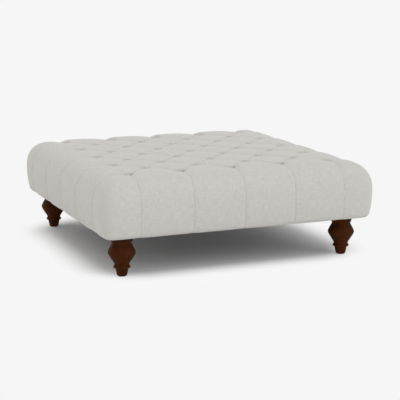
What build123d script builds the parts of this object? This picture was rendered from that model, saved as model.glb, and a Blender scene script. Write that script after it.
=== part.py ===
# Square deep-buttoned footstool on four turned legs.
# Origin on the floor under the centre, X along the front, Y to the back, Z up, all in millimetres.
import os
from math import sqrt

from build123d import *

os.makedirs("parts", exist_ok=True)

# Overall sizes
body_side = 1000  # width and depth at the widest level
body_height = 198  # from the underside of the rails to the crests of the pillows
leg_height = 139  # from the floor to the underside of the rails
leg_inset = 91  # leg centre, in from the widest outline

# Outline of the upholstered body, seen from the side
shoulder_radius = 100
side_radius = 350
corner_radius = 50
hem_radius = 20

# Deep buttoning
buttons_in_row = 5
button_setback = 30  # border buttons, in from the start of the shoulder
crease_depth = 9
crease_rise = 0.8  # how far a pillow's arc would rise over the flat crest
crease_width_share = 0.92
well_depth = 38
well_mouth_radius = 30
button_radius = 11
button_height = 7
button_rim = 2
button_clearance = 1

# Layers, from the outside in
cover_thickness = 1.5
wadding_thickness = 10
side_foam_thickness = 15
hem_return = 40  # cover turned in under the frame

# Frame
rail_height = 70
rail_thickness = 22
cross_rail_height = 45
cross_rail_place_share = 0.75  # share of the button pitch, between two rows of buttons
deck_thickness = 12
block_side = 90
block_height = 38
block_chamfer = 35

# Fasteners
bolt_radius = 4
bolt_reach_down = 45
bolt_reach_up = 42
bolt_tip = 8
bolt_clearance = 0.5
nut_barrel_radius = 5.5
nut_barrel_length = 12
nut_flange_radius = 12
nut_flange_thickness = 1.5
frame_screw_length = 45
deck_screw_length = 35
screw_radius = 2.25
screw_head_radius = 4.5
screw_head_height = 3
screw_tip = 5
screw_near = 15  # frame screws, in from the inside corner of the rails
screw_far = 70
screw_level = 13  # lower frame screws, up from the underside of the rails
screw_step = 12
dowel_radius = 4
dowel_into_face = 15
dowel_into_end = 25
dowel_level_shares = (0.5, 0.85)
cross_screw_shares = (0.25, 0.75)
deck_screws_in_row = 5
cross_screws_in_row = 3

# Tufting twine and its ties under the deck
twine_radius = 1.2
deck_hole_radius = 3
washer_radius = 10
washer_thickness = 2
knot_radius = 3.5
knot_height = 4

# Underside
dust_cover_thickness = 0.5
dust_margin = 20  # edge of the dust cover, in from the cover's lower edge
leg_hole_clearance = 1
staple_width = 10
staple_wire = 1
staple_leg = 8
staple_spacing = 110
staples_in_row = 7
staple_inset = 7  # staples, in from the outer faces of the rails

# Turned leg: radii from the floor up, and the levels as shares of the wooden height
glide_radius = 14
glide_thickness = 3
glide_edge = 1
glide_pin_radius = 1.5
glide_pin_length = 12
foot_radius = 17
foot_edge = 1.5
ankle_radius = 21.5
bead_radius = 28.4
shank_radius = 24.7
taper_radius = 31.5
cheek_radius = 43
belly_radius = 46.3
neck_radius = 32.5
collar_radius = 36
# Ankle, bead, shank, taper, lower cheek, belly, upper cheek, neck, top of the neck, collar
leg_level_shares = (0.17, 0.215, 0.25, 0.365, 0.505, 0.575, 0.645, 0.8, 0.83, 0.855)

cut_overrun = 20
right_angle = 90
half_right = 45

# Levels and places worked out from the sizes above
frame_bottom = leg_height
crest_level = frame_bottom + body_height
widest_level = crest_level - shoulder_radius
deck_bottom = frame_bottom + rail_height
deck_top = deck_bottom + deck_thickness
half_side = body_side / 2
shoulder_start = half_side - shoulder_radius
side_centre = half_side - side_radius
button_reach = shoulder_start - button_setback
button_pitch = 2 * button_reach / (buttons_in_row - 1)
button_seat = crest_level - well_depth
leg_reach = half_side - leg_inset
lining_inset = cover_thickness + wadding_thickness
well_base_radius = button_radius + button_clearance
leg_hole_radius = collar_radius + leg_hole_clearance
cross_rail_place = cross_rail_place_share * button_pitch
cross_screw_spacing = 2 * cross_rail_place


def side_reach(level, inset):
    # How far the outline stands out at a level below the widest one
    return side_centre + sqrt((side_radius - inset) ** 2 - (widest_level - level) ** 2)


rail_reach = side_reach(frame_bottom, lining_inset) - side_foam_thickness
rail_inside = rail_reach - rail_thickness
rail_centre = rail_reach - rail_thickness / 2
hem_level = frame_bottom - cover_thickness
hem_reach = side_reach(hem_level, 0) - hem_return
dust_level = hem_level - dust_cover_thickness
dust_reach = side_reach(hem_level, 0) - dust_margin

main_row = [button_pitch * (index - (buttons_in_row - 1) / 2) for index in range(buttons_in_row)]
between_row = [place + button_pitch / 2 for place in main_row[:-1]]
button_places = [(x, y) for x in main_row for y in main_row]
button_places += [(x, y) for x in between_row for y in between_row]
leg_places = {
    "front_left": (-leg_reach, -leg_reach),
    "front_right": (leg_reach, -leg_reach),
    "back_left": (-leg_reach, leg_reach),
    "back_right": (leg_reach, leg_reach),
}


def button_spots(level):
    return Locations(*[(x, y, level) for x, y in button_places])


def leg_spots(level):
    return Locations(*[(x, y, level) for x, y in leg_places.values()])


def save(piece, name):
    piece.part.label = name
    export_step(piece.part, f"parts/{name}.step")


# Upholstered form. Every layer has the same form, set in from the cover's outside by its inset.
def half_profile(base_level, inset):
    shoulder = shoulder_radius - inset
    middle = (widest_level + base_level) / 2
    crest = Line((0, widest_level + shoulder), (shoulder_start, widest_level + shoulder))
    turn = CenterArc((shoulder_start, widest_level), shoulder, right_angle, -right_angle)
    side = ThreePointArc(
        turn @ 1,
        (side_reach(middle, inset), middle),
        (side_reach(base_level, inset), base_level),
    )
    Polyline(side @ 1, (0, base_level), crest @ 0)


pillow_reach = button_pitch / sqrt(2) / 2
pillow_rise = crease_depth + crease_rise
pillow_radius = (pillow_reach**2 + pillow_rise**2) / (2 * pillow_rise)
crease_half_width = crease_width_share * pillow_reach


def crease_point(offset, inset):
    # A point on the pillow's arc, measured from the crease and from the flat crest
    drop = sqrt((pillow_radius - inset) ** 2 - (pillow_reach - offset) ** 2)
    return (offset, crease_rise + drop - pillow_radius)


def half_crease(inset):
    # Half of the groove between two pillows: the pillow's arc below, open above
    low = crease_point(0, inset)
    end = crease_point(crease_half_width, inset)
    ThreePointArc(low, crease_point(crease_half_width / 2, inset), end)
    Polyline(end, (crease_half_width, cut_overrun), (0, cut_overrun), low)


def crease_section(inset):
    # The whole groove: both halves side by side
    with BuildSketch() as section:
        with BuildLine():
            half_crease(inset)
        make_face()
        mirror(about=Plane.YZ)
    return section.sketch


def crease_bar(length, inset):
    with BuildPart() as bar:
        start = (0, length / 2, crest_level)
        with BuildSketch(Plane(origin=start, x_dir=(1, 0, 0), z_dir=(0, -1, 0))):
            add(crease_section(inset))
        extrude(amount=length)
    return bar.part


def tufted_form(base_level, inset):
    # Dishes: the crease turned about a button, where the creases and pleats end
    crest = (0, 0, crest_level)
    with BuildPart() as dish:
        with BuildSketch(Plane(origin=crest, x_dir=(1, 0, 0), z_dir=(0, -1, 0))):
            with BuildLine():
                half_crease(inset)
            make_face()
        revolve(axis=Axis.Z)

    # Pleats: the crease carried outwards from a border button, over the shoulder and down the side
    low_level = base_level - cut_overrun
    middle = (widest_level + low_level) / 2
    with BuildPart() as pleat:
        with BuildLine(Plane.XZ) as path:
            Line((button_reach, crest_level), (shoulder_start, crest_level))
            shoulder = CenterArc((shoulder_start, widest_level), shoulder_radius, right_angle, -right_angle)
            ThreePointArc(
                shoulder @ 1,
                (side_reach(middle, 0), middle),
                (side_reach(low_level, 0), low_level),
            )
        with BuildSketch(Plane(origin=path.line @ 0, x_dir=(0, 1, 0), z_dir=(1, 0, 0))):
            add(crease_section(inset))
        sweep(path=path.line)

    # One quarter: the plain crest form first, then its buttoning
    with BuildPart() as quarter:
        with BuildSketch(Plane.XZ):
            with BuildLine():
                half_profile(base_level, inset)
            make_face()
        extrude(amount=-half_side)
        with BuildSketch(Plane.YZ):
            with BuildLine():
                half_profile(base_level, inset)
            make_face()
        extrude(amount=half_side, mode=Mode.INTERSECT)
        outer = [edge for edge in quarter.edges() if min(edge.center().X, edge.center().Y) > shoulder_start]
        fillet(outer, radius=corner_radius - inset)
        base = quarter.faces().sort_by(Axis.Z)[0]
        hem = [edge for edge in base.edges() if max(edge.center().X, edge.center().Y) > shoulder_start]
        fillet(hem, radius=hem_radius - min(inset, cover_thickness))

        # Straight creases along both diagonals, from border button to border button
        for step in range(buttons_in_row - 1):
            length = (buttons_in_row - 1 - step) * button_pitch * sqrt(2)
            turns = 3 if step else 2
            crease = crease_bar(length, inset)
            with PolarLocations(
                step * button_pitch / sqrt(2), turns, start_angle=-half_right, angular_range=turns * right_angle
            ):
                add(crease, mode=Mode.SUBTRACT)
        outward = [place for place in main_row if place >= 0]
        with Locations(*[Location((0, place, 0)) for place in outward]):
            add(pleat.part, mode=Mode.SUBTRACT)
        with Locations(*[Location((place, 0, 0), (0, 0, right_angle)) for place in outward]):
            add(pleat.part, mode=Mode.SUBTRACT)
        border = [(button_reach, place) for place in outward]
        border += [(place, button_reach) for place in outward[:-1]]
        with Locations(*border):
            add(dish.part, mode=Mode.SUBTRACT)
        wells = [(x, y, button_seat - inset) for x, y in button_places if min(x, y) >= 0]
        with Locations(*wells):
            Cone(
                well_base_radius + inset,
                well_mouth_radius + inset,
                well_depth + inset,
                align=(Align.CENTER, Align.CENTER, Align.MIN),
                mode=Mode.SUBTRACT,
            )

    with BuildPart() as whole:
        add(quarter.part)
        mirror(about=Plane.XZ)
        mirror(about=Plane.YZ)
    return whole.part


upward = (Align.CENTER, Align.CENTER, Align.MIN)
downward = (Align.CENTER, Align.CENTER, Align.MAX)

# Countersunk wood screws, head up, point down
def countersunk_screw(length):
    with BuildPart() as screw:
        with BuildSketch(Plane.XZ):
            with BuildLine():
                Polyline(
                    (0, 0),
                    (screw_head_radius, 0),
                    (screw_radius, -screw_head_height),
                    (screw_radius, screw_tip - length),
                    (0, -length),
                    close=True,
                )
            make_face()
        revolve(axis=Axis.Z)
    return screw.part


# Frame screws: through the rails into the corner blocks and the ends of the cross rails
frame_screw = countersunk_screw(frame_screw_length)
cross_levels = [deck_bottom - cross_rail_height * share for share in cross_screw_shares]
with BuildPart() as frame_screws:
    for start_angle, level in ((0, screw_level + screw_step), (right_angle, screw_level)):
        with PolarLocations(rail_reach, 2, start_angle=start_angle):
            for side in (-1, 1):
                for inward in (screw_near, screw_far):
                    place = (0, side * (rail_inside - inward), frame_bottom + level)
                    with Locations(Location(place, (0, right_angle, 0))):
                        add(frame_screw)
    with PolarLocations(rail_reach, 2, start_angle=right_angle):
        for side in (-1, 1):
            for level in cross_levels:
                with Locations(Location((0, side * cross_rail_place, level), (0, right_angle, 0))):
                    add(frame_screw)
save(frame_screws, "frame_screws")

# Deck screws: down through the deck into the rails and cross rails
deck_screw = countersunk_screw(deck_screw_length)
with BuildPart() as deck_screws:
    with PolarLocations(rail_centre, 4):
        with GridLocations(0, button_pitch, 1, deck_screws_in_row):
            with Locations((0, 0, deck_top)):
                add(deck_screw)
    with GridLocations(2 * cross_rail_place, cross_screw_spacing, 2, cross_screws_in_row):
        with Locations((0, 0, deck_top)):
            add(deck_screw)
save(deck_screws, "deck_screws")

# Rail dowels: from the inner faces of the front and back rails into the ends of the side rails
with BuildPart() as rail_dowels:
    with PolarLocations(rail_inside - dowel_into_end, 2, start_angle=right_angle):
        for side in (-1, 1):
            for share in dowel_level_shares:
                level = frame_bottom + rail_height * share
                with Locations(Location((0, side * rail_centre, level), (0, right_angle, 0))):
                    Cylinder(dowel_radius, dowel_into_face + dowel_into_end, align=upward)
save(rail_dowels, "rail_dowels")

# Staples: through the dust cover and the turned-in cover into the rails
with BuildPart() as staples:
    with PolarLocations(rail_reach - staple_inset, 4):
        with GridLocations(0, staple_spacing, 1, staples_in_row):
            with Locations((0, 0, dust_level)):
                Box(staple_wire, staple_width, staple_wire, align=downward)
                with GridLocations(0, staple_width - staple_wire, 1, 2):
                    Box(staple_wire, staple_wire, staple_leg, align=upward)
save(staples, "staples")

# Hanger bolts: pointed end down in the leg, machine thread up through the tee nut
with BuildPart() as hanger_bolt:
    with BuildSketch(Plane.XZ):
        with BuildLine():
            Polyline(
                (0, leg_height + bolt_reach_up),
                (bolt_radius, leg_height + bolt_reach_up),
                (bolt_radius, leg_height - bolt_reach_down + bolt_tip),
                (0, leg_height - bolt_reach_down),
                close=True,
            )
        make_face()
    revolve(axis=Axis.Z)
with BuildPart() as hanger_bolts:
    with leg_spots(0):
        add(hanger_bolt.part)
save(hanger_bolts, "hanger_bolts")

# Tee nuts: flange on the corner block, barrel down into it
block_top = frame_bottom + block_height
with BuildPart() as tee_nuts:
    with leg_spots(block_top):
        Cylinder(nut_flange_radius, nut_flange_thickness, align=upward)
        Cylinder(nut_barrel_radius, nut_barrel_length, align=downward)
    add(hanger_bolts.part, mode=Mode.SUBTRACT)
save(tee_nuts, "tee_nuts")

# Corner blocks, one in each corner of the rails, carrying the leg
for name, (x, y) in leg_places.items():
    across = rail_inside - block_side / 2
    middle = (across if x > 0 else -across, across if y > 0 else -across)
    with BuildPart() as corner_block:
        with BuildSketch(Plane.XY.offset(frame_bottom)) as outline:
            with Locations(middle):
                Rectangle(block_side, block_side)
            inner = outline.vertices().sort_by_distance((0, 0, 0))[0]
            chamfer(inner, block_chamfer)
        extrude(amount=block_height)
        with Locations((x, y, frame_bottom)):
            Cylinder(bolt_radius + bolt_clearance, block_height, align=upward, mode=Mode.SUBTRACT)
        add(tee_nuts.part, mode=Mode.SUBTRACT)
        add(frame_screws.part, mode=Mode.SUBTRACT)
    save(corner_block, f"corner_block_{name}")

# Rails: front and back run the full width, the sides stand between them
long_rail = (2 * rail_reach, rail_thickness, rail_height)
short_rail = (rail_thickness, 2 * rail_inside, rail_height)
rails = {
    "rail_front": ((0, -rail_centre, frame_bottom), long_rail),
    "rail_back": ((0, rail_centre, frame_bottom), long_rail),
    "rail_left": ((-rail_centre, 0, frame_bottom), short_rail),
    "rail_right": ((rail_centre, 0, frame_bottom), short_rail),
}
cross_level = deck_bottom - cross_rail_height
cross_rail = (rail_thickness, 2 * rail_inside, cross_rail_height)
rails["cross_rail_left"] = ((-cross_rail_place, 0, cross_level), cross_rail)
rails["cross_rail_right"] = ((cross_rail_place, 0, cross_level), cross_rail)
for name, (place, size) in rails.items():
    with BuildPart() as rail:
        with Locations(place):
            Box(*size, align=upward)
        for fasteners in (frame_screws, deck_screws, rail_dowels, staples):
            add(fasteners.part, mode=Mode.SUBTRACT)
    save(rail, name)

# Deck board, with a hole for each twine
with BuildPart() as deck_board:
    with Locations((0, 0, deck_bottom)):
        Box(2 * rail_reach, 2 * rail_reach, deck_thickness, align=upward)
    with button_spots(deck_bottom):
        Cylinder(deck_hole_radius, deck_thickness, align=upward, mode=Mode.SUBTRACT)
    add(deck_screws.part, mode=Mode.SUBTRACT)
save(deck_board, "deck_board")

# Tufting: a domed button in each well, its knotted twine down through the deck, and a tie washer
dome_height = button_height - button_rim
dome_radius = (button_radius**2 + dome_height**2) / (2 * dome_height)
dome_middle = button_height - dome_radius + sqrt(dome_radius**2 - (button_radius / 2) ** 2)
with BuildPart() as tuft_button:
    with BuildSketch(Plane.XZ):
        with BuildLine():
            Polyline((0, button_height), (0, 0), (button_radius, 0), (button_radius, button_rim))
            ThreePointArc((button_radius, button_rim), (button_radius / 2, dome_middle), (0, button_height))
        make_face()
    revolve(axis=Axis.Z)
with BuildPart() as tuft_buttons:
    with button_spots(button_seat):
        add(tuft_button.part)
save(tuft_buttons, "tuft_buttons")

washer_bottom = deck_bottom - washer_thickness
with BuildPart() as tuft_twine:
    with Locations((0, 0, washer_bottom)):
        Cylinder(twine_radius, button_seat - washer_bottom, align=upward)
        Cylinder(knot_radius, knot_height, align=downward)
with BuildPart() as tuft_twines:
    with button_spots(0):
        add(tuft_twine.part)
save(tuft_twines, "tuft_twines")

with BuildPart() as tie_washers:
    with button_spots(washer_bottom):
        Cylinder(washer_radius, washer_thickness, align=upward)
        Cylinder(twine_radius, washer_thickness, align=upward, mode=Mode.SUBTRACT)
save(tie_washers, "tie_washers")

# Turned legs, each bored for its bolt and its glide
leg_turning = leg_height - glide_thickness
levels = [glide_thickness + leg_turning * share for share in leg_level_shares]
ankle, bead, shank, taper, cheek_low, belly, cheek_high, neck, neck_top, collar = levels
with BuildPart() as glide:
    Cylinder(glide_radius, glide_thickness, align=upward)
    fillet(glide.edges().sort_by(Axis.Z)[0], radius=glide_edge)
    with Locations((0, 0, glide_thickness)):
        Cylinder(glide_pin_radius, glide_pin_length, align=upward)
with BuildPart() as turned_leg:
    with BuildSketch(Plane.XZ):
        with BuildLine():
            Polyline(
                (0, leg_height),
                (0, glide_thickness),
                (foot_radius - foot_edge, glide_thickness),
                (foot_radius, glide_thickness + foot_edge),
                (ankle_radius, ankle),
            )
            ThreePointArc((ankle_radius, ankle), (bead_radius, bead), (shank_radius, shank))
            ThreePointArc((shank_radius, shank), (taper_radius, taper), (cheek_radius, cheek_low))
            ThreePointArc((cheek_radius, cheek_low), (belly_radius, belly), (cheek_radius, cheek_high))
            Polyline(
                (cheek_radius, cheek_high),
                (neck_radius, neck),
                (neck_radius, neck_top),
                (collar_radius, collar),
                (collar_radius, leg_height),
                (0, leg_height),
            )
        make_face()
    revolve(axis=Axis.Z)
    add(hanger_bolt.part, mode=Mode.SUBTRACT)
    add(glide.part, mode=Mode.SUBTRACT)
for name, (x, y) in leg_places.items():
    with BuildPart() as leg:
        with Locations((x, y)):
            add(turned_leg.part)
    save(leg, f"leg_{name}")
    with BuildPart() as leg_glide:
        with Locations((x, y)):
            add(glide.part)
    save(leg_glide, f"glide_{name}")

# Cover: a shell of cloth, sunk to a seat under each button and turned in under the rails
cover_inside = tufted_form(frame_bottom, cover_thickness)
with BuildPart() as cover:
    add(tufted_form(hem_level, 0))
    add(cover_inside, mode=Mode.SUBTRACT)
    with Locations((0, 0, hem_level)):
        Box(2 * hem_reach, 2 * hem_reach, cover_thickness, align=upward, mode=Mode.SUBTRACT)
    with leg_spots(hem_level):
        Cylinder(leg_hole_radius, cover_thickness, align=upward, mode=Mode.SUBTRACT)
    with button_spots(button_seat):
        Cylinder(twine_radius, cover_thickness, align=downward, mode=Mode.SUBTRACT)
    add(staples.part, mode=Mode.SUBTRACT)
save(cover, "cover")

# Wadding between the cover and the foam
wadding_inside = tufted_form(frame_bottom, lining_inset)
with BuildPart() as wadding:
    add(cover_inside)
    add(wadding_inside, mode=Mode.SUBTRACT)
    with button_spots(button_seat):
        Cylinder(twine_radius, lining_inset, align=downward, mode=Mode.SUBTRACT)
save(wadding, "wadding")

# Foam core on the deck
with BuildPart() as foam_core:
    add(wadding_inside)
    split(bisect_by=Plane.XY.offset(deck_top), keep=Keep.TOP)
    with button_spots(button_seat):
        Cylinder(twine_radius, button_seat - deck_top, align=downward, mode=Mode.SUBTRACT)
save(foam_core, "foam_core")

# Side foam on the outside of the rails: front and back over the full width, the sides between them
strip_middle = (half_side + rail_reach) / 2
strip_width = half_side - rail_reach
strip_height = deck_top - frame_bottom
side_foams = {
    "side_foam_front": ((0, -strip_middle, frame_bottom), (body_side, strip_width, strip_height)),
    "side_foam_back": ((0, strip_middle, frame_bottom), (body_side, strip_width, strip_height)),
    "side_foam_left": ((-strip_middle, 0, frame_bottom), (strip_width, 2 * rail_reach, strip_height)),
    "side_foam_right": ((strip_middle, 0, frame_bottom), (strip_width, 2 * rail_reach, strip_height)),
}
for name, (place, size) in side_foams.items():
    with BuildPart() as side_foam:
        add(wadding_inside)
        with Locations(place):
            Box(*size, align=upward, mode=Mode.INTERSECT)
    save(side_foam, name)

# Dust cover, cut round the legs
with BuildPart() as dust_cover:
    with Locations((0, 0, dust_level)):
        Box(2 * dust_reach, 2 * dust_reach, dust_cover_thickness, align=upward)
    with leg_spots(dust_level):
        Cylinder(leg_hole_radius, dust_cover_thickness, align=upward, mode=Mode.SUBTRACT)
    add(staples.part, mode=Mode.SUBTRACT)
save(dust_cover, "dust_cover")
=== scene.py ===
from math import asin, cos, exp, hypot, pi, radians, sin, sqrt

import bmesh
import bpy
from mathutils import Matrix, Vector


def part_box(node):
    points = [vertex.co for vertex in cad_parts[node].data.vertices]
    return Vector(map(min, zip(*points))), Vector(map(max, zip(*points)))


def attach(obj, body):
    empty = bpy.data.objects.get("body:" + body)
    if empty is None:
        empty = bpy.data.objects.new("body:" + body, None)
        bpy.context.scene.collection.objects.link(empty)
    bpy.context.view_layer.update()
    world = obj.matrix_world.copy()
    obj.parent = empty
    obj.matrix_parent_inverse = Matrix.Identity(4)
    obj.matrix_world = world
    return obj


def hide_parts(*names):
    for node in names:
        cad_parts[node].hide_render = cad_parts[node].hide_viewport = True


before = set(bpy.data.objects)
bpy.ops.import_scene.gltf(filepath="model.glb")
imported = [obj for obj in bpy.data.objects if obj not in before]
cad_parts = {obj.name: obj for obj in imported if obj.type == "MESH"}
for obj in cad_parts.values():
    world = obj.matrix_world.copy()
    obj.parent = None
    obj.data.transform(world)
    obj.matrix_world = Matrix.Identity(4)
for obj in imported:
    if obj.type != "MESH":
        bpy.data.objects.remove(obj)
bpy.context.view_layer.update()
mm = 0.001
weldGap = 0.001 * mm
scene = bpy.context.scene
scene.view_settings.view_transform = "Standard"
print("frame loaded")

viewPoint = {
    "spot": (-1.687, -4.186, 1.051),
    "lookAt": (0.040, 0.004, 0.1443),
    "lens": 111.83,  # on the usual 36 mm sensor
}

studio = {
    "skyStrength": 0.86,
    "skyTint": "#FFFEFC",
    "backdropColour": "#F6F6F6",
    "floorColour": "#F6F6F6",
    "floorSize": 60.0,
    "keyStrength": 0.55,
    "keyTint": (0.96, 1.0, 1.07),  # a little cooler than the sky
    "keyFrom": (1.6, -2.4, 2.2),
    "keyAngle": 50,  # degrees across: a wide, soft source
    "shadowCentre": (0, 23 * mm, 0),
    "shadowCore": (296 * mm, 276 * mm, 1),
    "shadowFade": (120 * mm, 277 * mm),  # beyond the core, the floor turns to the plain backdrop colour
    "shadowWeight": 0.985,
}


def linearColour(hexCode):
    shares = [int(hexCode[place:place + 2], 16) / 255 for place in (1, 3, 5)]
    return tuple(s / 12.92 if s <= 0.04045 else ((s + 0.055) / 1.055) ** 2.4 for s in shares) + (1.0,)


def addNode(tree, kind, sockets=None, **settings):
    # One node with its settings; a socket is given a value, or an output to link from
    node = tree.nodes.new(kind)
    for name, value in settings.items():
        setattr(node, name, value)
    for name, value in (sockets or {}).items():
        if isinstance(value, bpy.types.NodeSocket):
            tree.links.new(value, node.inputs[name])
        else:
            node.inputs[name].default_value = value
    return node


def newMaterial(name):
    material = bpy.data.materials.new(name)
    material.use_nodes = True
    material.node_tree.nodes.clear()
    return material, material.node_tree


def setRamp(ramp, places, colours):
    # From the first colour to the second, between the two places
    for stop, place, hexCode in zip(ramp.color_ramp.elements, places, colours):
        stop.position = place
        stop.color = linearColour(hexCode)


def makeCamera():
    data = bpy.data.cameras.new("camera")
    data.lens = viewPoint["lens"]
    camera = bpy.data.objects.new("camera", data)
    camera.location = viewPoint["spot"]
    camera.rotation_mode = "QUATERNION"
    sight = Vector(viewPoint["lookAt"]) - Vector(viewPoint["spot"])
    camera.rotation_quaternion = sight.to_track_quat("-Z", "Y")
    scene.collection.objects.link(camera)
    scene.camera = camera


def makeSky():
    # Even studio light all round; the camera and reflections see the plain backdrop
    world = bpy.data.worlds.new("studioSky")
    world.use_nodes = True
    tree = world.node_tree
    tree.nodes.clear()
    light = addNode(tree, "ShaderNodeBackground", {
        "Color": linearColour(studio["skyTint"]), "Strength": studio["skyStrength"]})
    plain = addNode(tree, "ShaderNodeBackground", {"Color": linearColour(studio["backdropColour"])})
    rays = addNode(tree, "ShaderNodeLightPath")
    seen = addNode(tree, "ShaderNodeMath", {
        0: rays.outputs["Is Camera Ray"], 1: rays.outputs["Is Glossy Ray"]}, operation="MAXIMUM")
    mix = addNode(tree, "ShaderNodeMixShader", {
        0: seen.outputs[0], 1: light.outputs[0], 2: plain.outputs[0]})
    addNode(tree, "ShaderNodeOutputWorld", {"Surface": mix.outputs[0]})
    scene.world = world


def makeKeyLight():
    lamp = bpy.data.lights.new("keyLight", "SUN")
    lamp.energy = studio["keyStrength"]
    lamp.color = studio["keyTint"]
    lamp.angle = radians(studio["keyAngle"])
    key = bpy.data.objects.new("keyLight", lamp)
    key.rotation_mode = "QUATERNION"
    key.rotation_quaternion = (-Vector(studio["keyFrom"])).to_track_quat("-Z", "Y")
    scene.collection.objects.link(key)


def makeFloor():
    sheet = bmesh.new()
    bmesh.ops.create_grid(sheet, x_segments=1, y_segments=1, size=studio["floorSize"] / 2)
    mesh = bpy.data.meshes.new("floor")
    sheet.to_mesh(mesh)
    sheet.free()
    floor = bpy.data.objects.new("floor", mesh)
    scene.collection.objects.link(floor)
    # Matt floor, shaded near the object; further out the camera sees it as plain as the backdrop
    material, tree = newMaterial("matt painted floor")
    place = addNode(tree, "ShaderNodeTexCoord")
    centred = addNode(tree, "ShaderNodeVectorMath", {
        0: place.outputs["Object"], 1: studio["shadowCentre"]}, operation="SUBTRACT")
    folded = addNode(tree, "ShaderNodeVectorMath", {0: centred.outputs[0]}, operation="ABSOLUTE")
    beyond = addNode(tree, "ShaderNodeVectorMath", {
        0: folded.outputs[0], 1: studio["shadowCore"]}, operation="SUBTRACT")
    outside = addNode(tree, "ShaderNodeVectorMath", {
        0: beyond.outputs[0], 1: (0, 0, 0)}, operation="MAXIMUM")
    distance = addNode(tree, "ShaderNodeVectorMath", {0: outside.outputs[0]}, operation="LENGTH")
    plainness = addNode(tree, "ShaderNodeMapRange", {
        "Value": distance.outputs["Value"], "From Min": studio["shadowFade"][0],
        "From Max": studio["shadowFade"][1], "To Min": 1 - studio["shadowWeight"], "To Max": 1.0,
    }, interpolation_type="SMOOTHSTEP")
    rays = addNode(tree, "ShaderNodeLightPath")
    seen = addNode(tree, "ShaderNodeMath", {
        0: rays.outputs["Is Camera Ray"], 1: plainness.outputs[0]}, operation="MULTIPLY")
    paint = addNode(tree, "ShaderNodeBsdfDiffuse", {"Color": linearColour(studio["floorColour"])})
    plain = addNode(tree, "ShaderNodeEmission", {"Color": linearColour(studio["backdropColour"])})
    mix = addNode(tree, "ShaderNodeMixShader", {
        0: seen.outputs[0], 1: paint.outputs[0], 2: plain.outputs[0]})
    addNode(tree, "ShaderNodeOutputMaterial", {"Surface": mix.outputs[0]})
    mesh.materials.append(material)


makeCamera()
makeSky()
makeKeyLight()
makeFloor()
print("studio ready")


def wovenLinen(name, weave):
    # Plain-woven linen: quite matt, with paler and darker slubs along both threads and a fuzzy edge
    material, tree = newMaterial(name)
    cloth = addNode(tree, "ShaderNodeUVMap", uv_map="cloth")
    across, along = 1 / weave["slubWidth"], 1 / weave["slubLength"]
    warp = addNode(tree, "ShaderNodeMapping", {"Vector": cloth.outputs[0], "Scale": (across, along, 1)})
    weft = addNode(tree, "ShaderNodeMapping", {
        "Vector": cloth.outputs[0], "Location": weave["weftShift"], "Scale": (along, across, 1)})
    warpSlub = addNode(tree, "ShaderNodeTexNoise", {"Vector": warp.outputs[0], "Scale": 1.0, "Detail": 2.0})
    weftSlub = addNode(tree, "ShaderNodeTexNoise", {"Vector": weft.outputs[0], "Scale": 1.0, "Detail": 2.0})
    slub = addNode(tree, "ShaderNodeMix", {0: 0.5, 2: warpSlub.outputs[0], 3: weftSlub.outputs[0]})
    yarns = addNode(tree, "ShaderNodeValToRGB", {0: slub.outputs[0]})
    setRamp(yarns, weave["slubSpread"], (weave["darkYarn"], weave["paleYarn"]))
    # Ridges of warp and weft, over and under by turns
    place = addNode(tree, "ShaderNodeSeparateXYZ", {0: cloth.outputs[0]})
    turns = 2 * pi / weave["threadSpacing"]
    ridges = []
    for coordinate in place.outputs[:2]:
        turn = addNode(tree, "ShaderNodeMath", {0: coordinate, 1: turns}, operation="MULTIPLY")
        ridges.append(addNode(tree, "ShaderNodeMath", {0: turn.outputs[0]}, operation="SINE").outputs[0])
    basket = addNode(tree, "ShaderNodeMath", {0: ridges[0], 1: ridges[1]}, operation="MULTIPLY")
    lumps = addNode(tree, "ShaderNodeMath", {
        0: slub.outputs[0], 1: weave["slubHeight"]}, operation="MULTIPLY")
    relief = addNode(tree, "ShaderNodeMath", {0: basket.outputs[0], 1: lumps.outputs[0]}, operation="ADD")
    bump = addNode(tree, "ShaderNodeBump", {
        "Height": relief.outputs[0], "Distance": weave["reliefDepth"], "Strength": weave["reliefStrength"]})
    rough = addNode(tree, "ShaderNodeMapRange", {
        "Value": slub.outputs[0], "To Min": weave["roughness"][0], "To Max": weave["roughness"][1]})
    shader = addNode(tree, "ShaderNodeBsdfPrincipled", {
        "Base Color": yarns.outputs[0], "Roughness": rough.outputs[0], "Normal": bump.outputs[0],
        "Specular IOR Level": weave["gloss"], "Sheen Weight": weave["fuzz"], "Sheen Roughness": 0.5})
    addNode(tree, "ShaderNodeOutputMaterial", {"Surface": shader.outputs[0]})
    return material


linen = wovenLinen("woven linen", {
    "darkYarn": "#C0BEB9",
    "paleYarn": "#CECCC7",
    "threadSpacing": 2.4 * mm,  # the real thread is about 1 mm; drawn coarser so that the weave shows
    "slubWidth": 3 * mm,
    "slubLength": 26 * mm,
    "slubHeight": 1.6,  # beside the ridges of the threads
    "slubSpread": (0.36, 0.64),  # of the noise, from the darkest yarn to the palest
    "weftShift": (7, 3, 0),  # so that the weft's slubs don't repeat the warp's
    "reliefDepth": 0.35 * mm,
    "reliefStrength": 0.3,
    "roughness": (0.82, 0.98),
    "gloss": 0.25,
    "fuzz": 0.25,
})

woodLook = {
    "spread": (0.32, 0.68),  # of the noise, from the darkest grain to the palest
    "bandShare": 0.4,  # growth bands, beside the fine fibres
    "poresRougher": 0.08,
    "faceSmoother": 0.04,
    "poreStrength": 0.4,
}


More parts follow.
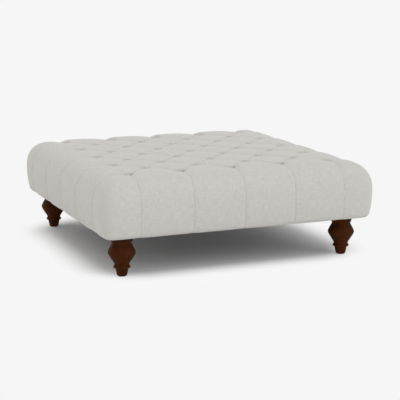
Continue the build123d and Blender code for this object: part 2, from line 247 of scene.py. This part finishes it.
def grainedWood(name, wood):
    # Wood along one axis: long thin fibres, a little darker and rougher where the pores lie
    material, tree = newMaterial(name)
    place = addNode(tree, "ShaderNodeTexCoord")
    grain = [1 / wood["grainWidth"]] * 3
    grain[wood["axis"]] = 1 / wood["grainLength"]
    fibres = addNode(tree, "ShaderNodeMapping", {"Vector": place.outputs["Object"], "Scale": grain})
    rings = [1 / wood["ringWidth"]] * 3
    rings[wood["axis"]] = 1 / wood["ringLength"]
    bands = addNode(tree, "ShaderNodeMapping", {"Vector": place.outputs["Object"], "Scale": rings})
    fine = addNode(tree, "ShaderNodeTexNoise", {"Vector": fibres.outputs[0], "Scale": 1.0, "Detail": 4.0})
    broad = addNode(tree, "ShaderNodeTexNoise", {"Vector": bands.outputs[0], "Scale": 1.0, "Detail": 2.0})
    figure = addNode(tree, "ShaderNodeMix", {
        0: woodLook["bandShare"], 2: fine.outputs[0], 3: broad.outputs[0]})
    tone = addNode(tree, "ShaderNodeValToRGB", {0: figure.outputs[0]})
    setRamp(tone, woodLook["spread"], (wood["dark"], wood["pale"]))
    rough = addNode(tree, "ShaderNodeMapRange", {
        "Value": figure.outputs[0], "To Min": wood["roughness"] + woodLook["poresRougher"],
        "To Max": wood["roughness"] - woodLook["faceSmoother"]})
    bump = addNode(tree, "ShaderNodeBump", {
        "Height": fine.outputs[0], "Distance": wood["poreDepth"], "Strength": woodLook["poreStrength"]})
    shader = addNode(tree, "ShaderNodeBsdfPrincipled", {
        "Base Color": tone.outputs[0], "Roughness": rough.outputs[0], "Normal": bump.outputs[0],
        "Specular IOR Level": wood["gloss"]})
    addNode(tree, "ShaderNodeOutputMaterial", {"Surface": shader.outputs[0]})
    return material


# Stained beech: dark red-brown, with a short close grain that only shows near by
stainedBeech = grainedWood("turned beech, stained and lacquered", {
    "axis": 2, "dark": "#361A0A", "pale": "#4E2811", "grainWidth": 2 * mm, "grainLength": 50 * mm,
    "ringWidth": 14 * mm, "ringLength": 300 * mm, "roughness": 0.42, "poreDepth": 0.08 * mm, "gloss": 0.03,
})
# Sawn spruce: yellow straw, with long straight bands and a dull sawn face
softwood = {
    "dark": "#B98A58", "pale": "#DDB888", "grainWidth": 2.5 * mm, "grainLength": 120 * mm,
    "ringWidth": 12 * mm, "ringLength": 700 * mm, "roughness": 0.7, "poreDepth": 0.2 * mm, "gloss": 0.3,
}
spruceAlongX = grainedWood("sawn spruce along the front", {"axis": 0, **softwood})
spruceAlongY = grainedWood("sawn spruce along the sides", {"axis": 1, **softwood})
# Birch plywood: pale tan, with the wide soft figure of a peeled veneer
birchPly = grainedWood("rotary-cut birch plywood", {
    "axis": 0, "dark": "#C49A68", "pale": "#DFBF92", "grainWidth": 5 * mm, "grainLength": 180 * mm,
    "ringWidth": 45 * mm, "ringLength": 600 * mm, "roughness": 0.6, "poreDepth": 0.1 * mm, "gloss": 0.3,
})

stockLook = {
    "spread": (0.3, 0.7),  # of the noise, from the darkest mottle to the palest
    "roughnessSpread": 0.06,
    "cellStrength": 0.5,
}


def plainStock(name, stock):
    # Moulded, foamed, felted or plated stock: one tone, mottled at the size of its cells, fibres or grains
    material, tree = newMaterial(name)
    place = addNode(tree, "ShaderNodeTexCoord")
    grains = addNode(tree, "ShaderNodeMapping", {
        "Vector": place.outputs["Object"], "Scale": [1 / size for size in stock["grains"]]})
    mottle = addNode(tree, "ShaderNodeTexNoise", {"Vector": grains.outputs[0], "Scale": 1.0, "Detail": 3.0})
    cells = addNode(tree, "ShaderNodeTexVoronoi", {"Vector": grains.outputs[0], "Scale": 1.0})
    tone = addNode(tree, "ShaderNodeValToRGB", {0: mottle.outputs[0]})
    setRamp(tone, stockLook["spread"], (stock["dark"], stock["pale"]))
    rough = addNode(tree, "ShaderNodeMapRange", {
        "Value": mottle.outputs[0], "To Min": stock["roughness"] - stockLook["roughnessSpread"],
        "To Max": stock["roughness"] + stockLook["roughnessSpread"]})
    bump = addNode(tree, "ShaderNodeBump", {
        "Height": cells.outputs[0], "Distance": stock["depth"], "Strength": stockLook["cellStrength"]})
    shader = addNode(tree, "ShaderNodeBsdfPrincipled", {
        "Base Color": tone.outputs[0], "Roughness": rough.outputs[0], "Normal": bump.outputs[0],
        "Metallic": stock.get("metallic", 0.0)})
    addNode(tree, "ShaderNodeOutputMaterial", {"Surface": shader.outputs[0]})
    return material


# Zinc-plated steel: grey-blue metal with faint crystals
zincSteel = plainStock("zinc-plated steel", {
    "dark": "#A3A6AA", "pale": "#C9CBCC", "grains": (2 * mm, 2 * mm, 2 * mm), "roughness": 0.36,
    "depth": 0.03 * mm, "metallic": 1.0})
# Cut polyurethane foam: cream, open cells about 1 mm across
cutFoam = plainStock("cut polyurethane foam", {
    "dark": "#E2D6A8", "pale": "#F0E7C2", "grains": (1.2 * mm, 1.2 * mm, 1.2 * mm), "roughness": 0.92,
    "depth": 0.5 * mm})
# Polyester wadding: white, with felted strands lying flat
feltedWadding = plainStock("felted polyester wadding", {
    "dark": "#DCDAD4", "pale": "#F0EFEB", "grains": (9 * mm, 4 * mm, 2 * mm), "roughness": 0.95,
    "depth": 0.8 * mm})
# Waxed nylon twine: strands laid round it, drawn as short grains along it
waxedTwine = plainStock("waxed nylon twine", {
    "dark": "#9C8B66", "pale": "#C6B890", "grains": (0.6 * mm, 0.6 * mm, 2.5 * mm), "roughness": 0.55,
    "depth": 0.2 * mm})
# Moulded polypropylene washers: off-white, slightly waxy
mouldedWasher = plainStock("moulded polypropylene", {
    "dark": "#D6D4CC", "pale": "#E2E0D8", "grains": (3 * mm, 3 * mm, 3 * mm), "roughness": 0.42,
    "depth": 0.04 * mm})
# Moulded nylon glides: black, scuffed matt on the floor side
mouldedGlide = plainStock("moulded black nylon", {
    "dark": "#17171A", "pale": "#26262A", "grains": (2 * mm, 2 * mm, 2 * mm), "roughness": 0.5,
    "depth": 0.05 * mm})
# Spunbonded dust cloth: black, with the small welded dots of the bonding roller
spunbond = plainStock("spunbonded dust cloth", {
    "dark": "#141416", "pale": "#222226", "grains": (2.6 * mm, 2.6 * mm, 2.6 * mm), "roughness": 0.88,
    "depth": 0.25 * mm})

finishes = {
    spruceAlongX: ["rail_front", "rail_back"] + [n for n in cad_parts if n.startswith("corner_block")],
    spruceAlongY: ["rail_left", "rail_right", "cross_rail_left", "cross_rail_right", "rail_dowels"],
    birchPly: ["deck_board"],
    zincSteel: ["hanger_bolts", "tee_nuts", "frame_screws", "deck_screws", "staples"],
    cutFoam: ["foam_core"] + [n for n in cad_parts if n.startswith("side_foam")],
    waxedTwine: ["tuft_twines"],
    mouldedWasher: ["tie_washers"],
    mouldedGlide: [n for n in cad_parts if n.startswith("glide")],
}
for finish, names in finishes.items():
    for name in names:
        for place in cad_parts[name].material_slots:
            place.material = finish
print("materials ready")

body = {
    "halfSide": 500 * mm,
    "crestLevel": 337 * mm,
    "shoulderWidth": 115 * mm,
    "shoulderHeight": 107 * mm,
    "shoulderPower": 2.6,  # a little fuller than a round shoulder
    "sideRadius": 350 * mm,
    "hemLevel": 137.5 * mm,
    "hemRadius": 20 * mm,
    "hemInside": 446 * mm,  # where the turned-in cloth ends, under the rails
    "cornerPower": 5.3,  # squareness of the upright corners
    "buttonsInRow": 5,
    "buttonReach": 370 * mm,
    "pitch": 185 * mm,
    "seatLevel": 299 * mm,  # of the buttons
    "cells": 24,  # of cloth to one pitch
    "gathering": 0.55,  # how much closer the cells are at buttons and pleats
    "sideRings": 12,  # rings of cells down the sides, then round the hem, then in under the frame
    "hemRings": 4,
    "underRings": 4,
}
shoulderStart = body["halfSide"] - body["shoulderWidth"]
widestLevel = body["crestLevel"] - body["shoulderHeight"]
clothReach = shoulderStart + body["shoulderWidth"] * pi / 2
hemCentre = body["sideRadius"] - body["hemRadius"]
hemAngle = asin((widestLevel - body["hemLevel"] - body["hemRadius"]) / hemCentre)
sideLength = body["sideRadius"] * hemAngle
hemLength = body["hemRadius"] * (pi / 2 - hemAngle)
hemOutside = body["halfSide"] - body["sideRadius"] + hemCentre * cos(hemAngle)
underLength = hemOutside - body["hemInside"]

tufts = {
    "pillowRadius": 600 * mm,  # rounding of a pillow across its diamond
    "creaseDepths": (2 * mm, 3.4 * mm),  # closed folds run back to the left, open ones back to the right
    "foldDepth": 4.5 * mm,  # and beside a button
    "foldLength": 18 * mm,
    "creaseWidth": 1.6 * mm,
    "creaseCuts": (0, 0.3, -0.3, 0.8, -0.8),  # rows of cloth cells beside each fold, in cells
    "wellRadius": 11.5 * mm,
    "wellSlope": 3 * mm,
    "borderSlope": 8 * mm,  # the border wells are pulled wider by the sides
    "borderBlend": 20 * mm,  # past the border buttons the folds give way to the pleats
    "closing": 9.5 * mm,  # how far the pillows close over a button
    "closingLength": 22 * mm,
    "pleatDepths": {"side": 5 * mm, "front": 1.8 * mm, "back": 1.8 * mm},
    "pleatStart": 150 * mm,  # they open out over this length
    # How far a panel falls back at its pleats: the front is pulled tightest
    "pleatSlacks": {"side": 12 * mm, "front": 6 * mm, "back": 14 * mm},
    "lapWidth": 35 * mm,  # round edge of the fold that lies over the pleat
    "slopeWidth": 110 * mm,  # and the long slope down to the next pleat
    "lapCrease": 1 * mm,
    "slopeCrease": 2 * mm,
    "pleatCuts": (0.3, -0.3),
    "pleatFade": 90 * mm,  # a panel between two pleats flattens over this length
    "pleatKeep": 0.3,
    "hemFade": 15 * mm,  # past the hem the cloth lies flat
}


def shoulderPoint(u, v):
    # Where the smooth form is before buttoning, and its outward normal, on the crest and the shoulder
    width, height = body["shoulderWidth"], body["shoulderHeight"]
    corner, power = body["cornerPower"], body["shoulderPower"]
    signs = [-1 if c < 0 else 1 for c in (u, v)]
    reaches = [min(abs(c), shoulderStart) for c in (u, v)]
    tilts = [max(abs(c) - shoulderStart, 0) / width for c in (u, v)]
    out = [sin(tilt) for tilt in tilts]
    up = max(cos(tilts[0]) * cos(tilts[1]), 0)
    around = sum(c**corner for c in out) ** (1 / corner)
    scale = (around**power + up**power) ** (-1 / power)
    out, up, around = [c * scale for c in out], up * scale, around * scale
    level = [s * (r + c * width) for s, r, c in zip(signs, reaches, out)]
    spread = around ** (power - corner) if around > 0 else 0
    slopes = [s * spread * c ** (corner - 1) / width for s, c in zip(signs, out)]
    normal = Vector(slopes + [up ** (power - 1) / height]).normalized()
    return Vector(level + [widestLevel + up * height]), normal


def formPoint(u, v, drop):
    # The same for a place that drops further, down the side, round the hem and in under the frame
    point, normal = shoulderPoint(u, v)
    if drop <= 0:
        return point, normal
    level = Vector((normal.x, normal.y, 0)).normalized()
    turn = min(drop / body["sideRadius"], hemAngle)
    point -= level * body["sideRadius"] * (1 - cos(turn)) + Vector((0, 0, body["sideRadius"] * sin(turn)))
    if drop > sideLength:
        turn = min(hemAngle + (drop - sideLength) / body["hemRadius"], pi / 2)
        swing = level * (cos(turn) - cos(hemAngle)) - Vector((0, 0, sin(turn) - sin(hemAngle)))
        point += swing * body["hemRadius"]
    under = drop - sideLength - hemLength
    if under > 0:
        edge = max(abs(point.x), abs(point.y))
        point.x *= (edge - under) / edge
        point.y *= (edge - under) / edge
    return point, level * cos(turn) - Vector((0, 0, sin(turn)))


def pleatDip(around, along, face):
    # Depth of the pleats at a place on one side, each laid over the next; and how firmly held
    gaps = [around + body["buttonReach"] - body["pitch"] * count for count in range(body["buttonsInRow"])]
    past = min([gap for gap in gaps if gap >= 0], default=1)
    ahead = min([-gap for gap in gaps if gap < 0], default=1)
    near = exp(-along / tufts["foldLength"])
    slack = max(1 - past / tufts["lapWidth"], 0) ** 2 + max(1 - ahead / tufts["slopeWidth"], 0) ** 2
    slack *= tufts["pleatKeep"] + (1 - tufts["pleatKeep"]) * exp(-along / tufts["pleatFade"])
    depth = tufts["pleatDepths"][face] * min(along / tufts["pleatStart"], 1) + tufts["foldDepth"] * near
    crease = max(exp(-past / tufts["lapCrease"]), exp(-ahead / tufts["slopeCrease"]))
    return slack * tufts["pleatSlacks"][face] + depth * crease, crease


def diamondDip(u, v):
    # Depth inside the buttoned field: round pillows, and folds along both diagonals; and how firmly held
    diagonal = body["pitch"] / sqrt(2)
    places = [(u + v) / body["pitch"], (u - v) / body["pitch"]]
    gaps = [abs(place - round(place)) * diagonal for place in places]
    slack = sum((diagonal / 2 - gap) ** 2 for gap in gaps) / (2 * tufts["pillowRadius"])
    folds = []
    for depth, across, along in zip(tufts["creaseDepths"], gaps, reversed(gaps)):
        depth += (tufts["foldDepth"] - depth) * exp(-((along / tufts["foldLength"]) ** 2))
        folds.append(depth * exp(-across / tufts["creaseWidth"]))
    return slack + max(folds), exp(-min(gaps) / tufts["creaseWidth"])


def nearestButton(u, v):
    # Distance on the cloth to the nearest button, and its place
    pitch, reach = body["pitch"], body["buttonReach"]
    found = []
    for shift in (0, pitch / 2):
        limit = reach - shift
        near = [max(-limit, min(limit, round((c - shift) / pitch) * pitch + shift)) for c in (u, v)]
        found.append((hypot(u - near[0], v - near[1]), near))
    return min(found)


def clothDip(u, v):
    # How far buttons, folds and pleats pull the cloth in, and how firmly; u and v run on down the sides
    reach = body["buttonReach"]
    inside, heldInside = diamondDip(max(-reach, min(reach, u)), max(-reach, min(reach, v)))
    out = max(abs(u) - reach, abs(v) - reach, 0)
    pleats, heldPleats = 0, 0
    faces = ((abs(u) - reach, -v, "side"), (abs(v) - reach, u, "back" if v > 0 else "front"))
    for along, around, face in faces:
        if along > 0:
            pleats, heldPleats = max((pleats, heldPleats), pleatDip(around, along, face))
    blend = exp(-((out / tufts["borderBlend"]) ** 2))
    dip = blend * inside + (1 - blend) * pleats
    atBorder = max(abs(u), abs(v)) >= reach - body["pitch"] / 4
    slope = tufts["borderSlope"] if atBorder else tufts["wellSlope"]
    well = exp(-((max(nearestButton(u, v)[0] - tufts["wellRadius"], 0) / slope) ** 2))
    held = max(blend * heldInside, (1 - blend) * heldPleats, well)
    return dip + (body["crestLevel"] - body["seatLevel"] - dip) * well, held


def closeOver(u, v):
    # Pillows press together over a button: places just outside its well move in above it
    gap, near = nearestButton(u, v)
    beyond = gap - tufts["wellRadius"]
    if beyond <= 0:
        return u, v
    rise = min(beyond / tufts["wellSlope"], 1)
    share = tufts["closing"] * rise * exp(-beyond / tufts["closingLength"]) / gap
    return u + (near[0] - u) * share, v + (near[1] - v) * share


def clothPlace(step, inner, outer):
    # A place on the cloth from a place on the even grid: closer together at buttons and pleats
    turns = min(abs(step), inner) / body["cells"]
    place = body["pitch"] * (turns - body["gathering"] * sin(4 * pi * turns) / (4 * pi))
    place += (clothReach - body["buttonReach"]) * max(abs(step) - inner, 0) / (outer - inner)
    return place if step > 0 else -place


def runOn(u, v, drop, frontOrBack):
    # Cloth coordinates, run on down the side by the drop
    if frontOrBack:
        return u, v + (drop if v > 0 else -drop)
    return u + (drop if u > 0 else -drop), v


def cutNear(sheet, faces, spot, normal):
    # Cuts the cloth cells that a plane runs through, and returns them all
    cellReach = 0.9  # cells; no cell's corner is further from its middle
    tolerance = 1e-4  # cells
    near = []
    for face in faces:
        if face.is_valid and abs((face.calc_center_median() - spot).dot(normal)) < cellReach:
            near.append(face)
    geom = set(near)
    for face in near:
        geom.update(face.edges, face.verts)
    cut = bmesh.ops.bisect_plane(sheet, geom=list(geom), dist=tolerance, plane_co=spot, plane_no=normal)
    return faces + [part for part in cut["geom"] if isinstance(part, bmesh.types.BMFace)]


def cutFolds(sheet, inner):
    # Rows of cells are cut beside every fold of the buttoned field, then beside every pleat
    cells = body["cells"]
    field = [face for face in sheet.faces if max(abs(c) for c in face.calc_center_median()) < inner]
    for step in range(cells - 2 * inner, 2 * inner, cells):
        for direction in (1, -1):
            normal = Vector((1, direction, 0)).normalized()
            spot = Vector((step / 2, direction * step / 2, 0))
            for gap in tufts["creaseCuts"]:
                field = cutNear(sheet, field, spot + normal * gap, normal)
    acrossX, acrossY = Vector((1, 0, 0)), Vector((0, 1, 0))
    for along, across in ((acrossY, acrossX), (acrossX, acrossY)):
        panels = [face for face in sheet.faces if abs(face.calc_center_median().dot(along)) > inner]
        for step in range(-inner, inner + 1, cells):
            for gap in tufts["pleatCuts"]:
                panels = cutNear(sheet, panels, across * (step + gap), across)


def dropSides(sheet, clothDrop):
    # The rim of the grid grows down the sides, round the hem and in under the frame
    drops, start = [], 0
    for part, length in (("side", sideLength), ("hem", hemLength), ("under", underLength)):
        rings = body[part + "Rings"]
        drops += [start + length * (ring + 1) / rings for ring in range(rings)]
        start += length
    rim = [edge for edge in sheet.edges if edge.is_boundary]
    for drop in drops:
        grown = bmesh.ops.extrude_edge_only(sheet, edges=rim)["geom"]
        fresh = {part for part in grown if isinstance(part, bmesh.types.BMVert)}
        for vert in fresh:
            vert[clothDrop] = drop
        edges = [part for part in grown if isinstance(part, bmesh.types.BMEdge)]
        rim = [edge for edge in edges if fresh.issuperset(edge.verts)]


def clothSheet():
    # The flat pattern as an even grid, cut along every fold, with its sides run down and turned under
    sheet = bmesh.new()
    inner = round(body["cells"] * body["buttonReach"] / body["pitch"])
    outer = inner + round((clothReach - body["buttonReach"]) * body["cells"] / body["pitch"])
    bmesh.ops.create_grid(sheet, x_segments=2 * outer, y_segments=2 * outer, size=outer)
    cutFolds(sheet, inner)
    layers = sheet.verts.layers.float
    clothU, clothV, clothDrop, clothHeld = (
        layers.new(name) for name in ("clothU", "clothV", "clothDrop", "clothHeld"))
    for vert in sheet.verts:
        vert[clothU], vert[clothV] = (clothPlace(step, inner, outer) for step in vert.co.xy)
    dropSides(sheet, clothDrop)
    # The cloth coordinates as a UV map for the weave, then every point in its place on the body
    weave = sheet.loops.layers.uv.new("cloth")
    for face in sheet.faces:
        frontOrBack = sum(abs(v[clothV]) - abs(v[clothU]) for v in face.verts) > 0
        for loop in face.loops:
            u, v, drop = (loop.vert[layer] for layer in (clothU, clothV, clothDrop))
            loop[weave].uv = runOn(u, v, drop, frontOrBack)
    for vert in sheet.verts:
        u, v, drop = (vert[layer] for layer in (clothU, clothV, clothDrop))
        point, normal = formPoint(*closeOver(u, v), drop)
        fade = 1 - max(min((drop - sideLength) / (hemLength + tufts["hemFade"]), 1), 0)
        dip, held = clothDip(*runOn(u, v, drop, abs(v) > abs(u)))
        vert.co = point - normal * fade * dip
        vert[clothHeld] = max(held, 1 - fade)
    bmesh.ops.recalc_face_normals(sheet, faces=sheet.faces)
    return sheet


def addPiece(name, made, material):
    mesh = bpy.data.meshes.new(name)
    made.to_mesh(mesh)
    made.free()
    mesh.polygons.foreach_set("use_smooth", [True] * len(mesh.polygons))
    mesh.materials.append(material)
    piece = bpy.data.objects.new(name, mesh)
    scene.collection.objects.link(piece)
    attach(piece, "root")
    return piece


def addThickness(piece, thickness):
    wall = piece.modifiers.new("thickness", "SOLIDIFY")
    wall.thickness = thickness
    wall.offset = -1


settling = {
    "frames": 20,
    "quality": 4,
    "mass": 0.3,
    "bending": 2,
    "pressure": 4.0,
    "grip": 1.5,  # folds and wells hold the cloth this firmly, up to fully
    "most": 5 * mm,  # no place moves further than this
}


def settleCloth(piece):
    # Cloth simulation: the wadding's push swells the linen between its folds, wells and hem
    mesh = piece.data
    held = piece.vertex_groups.new(name="held")
    for place, entry in enumerate(mesh.attributes["clothHeld"].data):
        held.add([place], min(settling["grip"] * entry.value, 1), "REPLACE")
    settle = piece.modifiers.new("settle", "CLOTH")
    settle.settings.quality = settling["quality"]
    settle.settings.mass = settling["mass"]
    settle.settings.bending_stiffness = settling["bending"]
    settle.settings.vertex_group_mass = "held"
    settle.settings.use_pressure = True
    settle.settings.uniform_pressure_force = settling["pressure"]
    settle.settings.effector_weights.gravity = 0
    settle.collision_settings.use_collision = False
    settle.point_cache.frame_end = settling["frames"]
    for frameNumber in range(1, settling["frames"] + 1):
        scene.frame_set(frameNumber)
    settled = piece.evaluated_get(bpy.context.evaluated_depsgraph_get()).to_mesh()
    moves = [after.co - before.co for before, after in zip(mesh.vertices, settled.vertices)]
    print("settled, furthest", round(max(move.length for move in moves) / mm, 1), "mm")
    piece.to_mesh_clear()
    piece.modifiers.remove(settle)
    piece.vertex_groups.remove(held)
    for vert, move in zip(mesh.vertices, moves):
        vert.co += move * min(settling["most"] / max(move.length, settling["most"]), 1)
    scene.frame_set(1)


upholstery = {
    "linen": 1.5 * mm,
    "toWadding": 4 * mm,  # from the outside of the linen
    "wadding": 8 * mm,
}


def makeCover():
    cover = addPiece("linen_cover", clothSheet(), linen)
    settleCloth(cover)
    # Wadding: the same form, a little inside the cloth
    inner = bmesh.new()
    inner.from_mesh(cover.data)
    for vert in inner.verts:
        vert.co -= vert.normal * upholstery["toWadding"]
    wadding = addPiece("wadding_layer", inner, feltedWadding)
    addThickness(cover, upholstery["linen"])
    addThickness(wadding, upholstery["wadding"])
    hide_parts("cover")
    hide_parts("wadding")


makeCover()
print("cover and wadding made")

button = {
    "radius": 11 * mm,
    "rim": 2 * mm,
    "height": 7 * mm,
    "foldOver": 0.6 * mm,
    "domeSteps": 5,
    "steps": 24,
}


def makeButtons():
    # Domed buttons in the same linen, each turned about its own centre
    buttons = bmesh.new()
    pitch, radius = body["pitch"], button["radius"]
    rise = button["height"] - button["rim"]
    dome = [(0, 0), (radius - button["foldOver"], 0), (radius, button["foldOver"])]
    for step in range(button["domeSteps"] + 1):
        turn = step * pi / (2 * button["domeSteps"])
        dome.append((radius * cos(turn), button["rim"] + rise * sin(turn)))
    for inRow in (body["buttonsInRow"], body["buttonsInRow"] - 1):
        row = [pitch * (place - (inRow - 1) / 2) for place in range(inRow)]
        for x in row:
            for y in row:
                points = [buttons.verts.new((x + out, y, body["seatLevel"] + up)) for out, up in dome]
                lines = [buttons.edges.new(pair) for pair in zip(points, points[1:])]
                bmesh.ops.spin(
                    buttons, geom=points + lines, cent=(x, y, 0), axis=(0, 0, 1), angle=2 * pi,
                    steps=button["steps"], use_merge=True)
    bmesh.ops.remove_doubles(buttons, verts=buttons.verts, dist=weldGap)
    bmesh.ops.recalc_face_normals(buttons, faces=buttons.faces)
    weave = buttons.loops.layers.uv.new("cloth")
    for face in buttons.faces:
        for loop in face.loops:
            loop[weave].uv = loop.vert.co.xy
    piece = addPiece("linen_buttons", buttons, linen)
    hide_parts("tuft_buttons")


makeButtons()
print("buttons made")

leg = {
    "reach": 409 * mm,
    "glide": 3 * mm,
    "top": 139 * mm,
    "boltRadius": 4 * mm,
    "boltBottom": 94 * mm,
    "pinRadius": 1.5 * mm,
    "pinTop": 15 * mm,
    "steps": 72,
    "crispAngle": 28,  # degrees, where two members meet in a line
    # Radius and level of each turned member, in mm; "VECTOR" ends in a crisp line, "AUTO" is round
    "members": [
        (17.0, 3.0, "VECTOR"), (19.6, 15.0, "AUTO"), (21.5, 26.0, "VECTOR"), (23.0, 27.0, "VECTOR"),
        (27.4, 29.0, "AUTO"), (28.4, 32.0, "AUTO"), (27.2, 35.0, "AUTO"), (24.4, 36.6, "VECTOR"),
        (24.9, 41.0, "AUTO"), (31.5, 52.6, "AUTO"), (43.0, 71.7, "AUTO"), (46.3, 81.2, "AUTO"),
        (43.0, 90.7, "AUTO"), (32.5, 111.8, "AUTO"), (32.3, 115.9, "VECTOR"), (34.8, 117.0, "VECTOR"),
        (36.0, 119.3, "AUTO"), (36.0, 139.0, "VECTOR"),
    ],
}


def legOutline():
    # Half outline of the turning, drawn as a curve in the XZ plane
    curve = bpy.data.curves.new("legOutline", "CURVE")
    curve.dimensions = "3D"
    curve.resolution_u = 5
    spline = curve.splines.new("BEZIER")
    spline.bezier_points.add(len(leg["members"]) - 1)
    for knot, (radius, level, kind) in zip(spline.bezier_points, leg["members"]):
        knot.co = (radius * mm, 0, level * mm)
        knot.handle_left_type = knot.handle_right_type = kind
    holder = bpy.data.objects.new("legOutline", curve)
    outline = bpy.data.meshes.new_from_object(holder)
    bpy.data.objects.remove(holder)
    return outline


def makeLegs():
    outline = legOutline()
    bore = [(leg["boltRadius"], leg["top"]), (leg["boltRadius"], leg["boltBottom"]), (0, leg["boltBottom"])]
    pinHole = [(leg["pinRadius"], leg["glide"]), (leg["pinRadius"], leg["pinTop"]), (0, leg["pinTop"])]
    for name in [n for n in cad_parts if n.startswith("leg_")]:
        low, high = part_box(name)
        centre = Vector([(a + b) / 2 for a, b in zip(low, high)])
        turned = bmesh.new()
        turned.from_mesh(outline)
        ends = sorted(turned.verts, key=lambda vert: vert.co.z)
        # Bore for the hanger bolt above, hole for the glide's pin below
        for last, chain in ((ends[-1], bore), (ends[0], pinHole)):
            for radius, level in chain:
                fresh = turned.verts.new((radius, 0, level))
                turned.edges.new((last, fresh))
                last = fresh
        bmesh.ops.translate(turned, verts=turned.verts, vec=(centre.x, centre.y, 0))
        bmesh.ops.spin(
            turned, geom=turned.verts[:] + turned.edges[:], cent=(centre.x, centre.y, 0), axis=(0, 0, 1),
            angle=2 * pi, steps=leg["steps"], use_merge=True)
        bmesh.ops.remove_doubles(turned, verts=turned.verts, dist=weldGap)
        bmesh.ops.recalc_face_normals(turned, faces=turned.faces)
        for edge in turned.edges:
            edge.smooth = edge.calc_face_angle(0) < radians(leg["crispAngle"])
        piece = addPiece("turned_" + name, turned, stainedBeech)
        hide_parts(name)


makeLegs()
print("legs turned")

dustCloth = {
    "reach": 465 * mm,
    "level": 137.5 * mm,
    "thickness": 0.5 * mm,
    "sag": 4 * mm,
    "sagPower": 0.7,  # under 1, so that most of the cloth hangs nearly level
    "stapled": 440 * mm,  # it hangs free inside this, where no staple holds it
    "holeRadius": 37 * mm,
    "cell": 11 * mm,
}


def makeDustCloth():
    cloth = bmesh.new()
    cells = round(2 * dustCloth["reach"] / dustCloth["cell"])
    bmesh.ops.create_grid(cloth, x_segments=cells, y_segments=cells, size=dustCloth["reach"])
    outer = {vert for vert in cloth.verts if vert.is_boundary}
    hole, centre = dustCloth["holeRadius"], leg["reach"]
    cutOut = [v for v in cloth.verts if hypot(abs(v.co.x) - centre, abs(v.co.y) - centre) < hole]
    bmesh.ops.delete(cloth, geom=cutOut, context="VERTS")
    # The cut edge round each leg goes out to the true circle
    for vert in [v for v in cloth.verts if v.is_boundary and v not in outer]:
        gap = Vector((abs(vert.co.x) - centre, abs(vert.co.y) - centre))
        gap.length = hole
        vert.co.x = (centre + gap.x) * (1 if vert.co.x > 0 else -1)
        vert.co.y = (centre + gap.y) * (1 if vert.co.y > 0 else -1)
    for vert in cloth.verts:
        free = [max(1 - (c / dustCloth["stapled"]) ** 2, 0) for c in vert.co.xy]
        vert.co.z = dustCloth["level"] - dustCloth["sag"] * (free[0] * free[1]) ** dustCloth["sagPower"]
    bmesh.ops.recalc_face_normals(cloth, faces=cloth.faces)
    bmesh.ops.reverse_faces(cloth, faces=[face for face in cloth.faces if face.normal.z > 0])
    piece = addPiece("dust_cloth", cloth, spunbond)
    addThickness(piece, -dustCloth["thickness"])
    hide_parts("dust_cover")


makeDustCloth()
print("dust cloth made")
